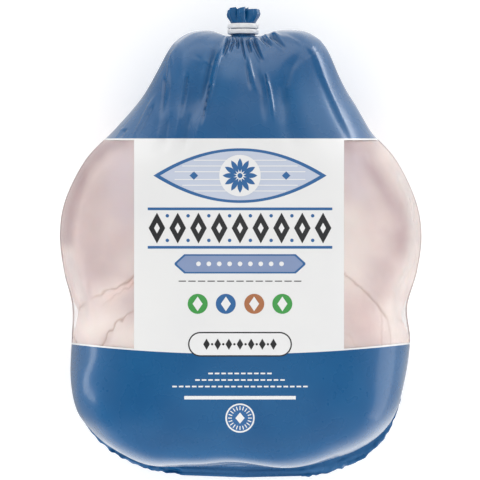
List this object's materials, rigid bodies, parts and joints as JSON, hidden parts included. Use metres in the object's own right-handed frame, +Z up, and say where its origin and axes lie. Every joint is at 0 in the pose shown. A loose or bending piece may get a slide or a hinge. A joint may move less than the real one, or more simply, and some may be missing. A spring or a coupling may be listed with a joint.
{
  "type": "whole raw chicken in a bag",
  "caption": "Whole raw chicken shrunk into a blue, white and clear film bag, lying breast up, with the bag's neck gathered, bound by a white strip and ending in a ruffle.",
  "frame": {"origin": "on the floor, under the middle of the bounding box", "axes": "+Z up out of the breast and the printed panel, +Y from the neck end of the bird to its leg ends and the bound neck of the bag, +X to the right when seen from above with the bound neck away from the viewer"},
  "size_m": [0.188, 0.2442, 0.1156],
  "materials": {
    "printed_film": "blue printed polyethylene film, tight on the bird, satin gloss",
    "white_print": "white printed panel on the same film, satin gloss",
    "clear_film": "clear unprinted film over the bird's flanks",
    "raw_skin": null,
    "strip_white": "white plastic strip, satin"
  },
  "bodies": {
    "root": {"bag": "printed_film", "clip": "strip_white"}
  },
  "joints": []
}
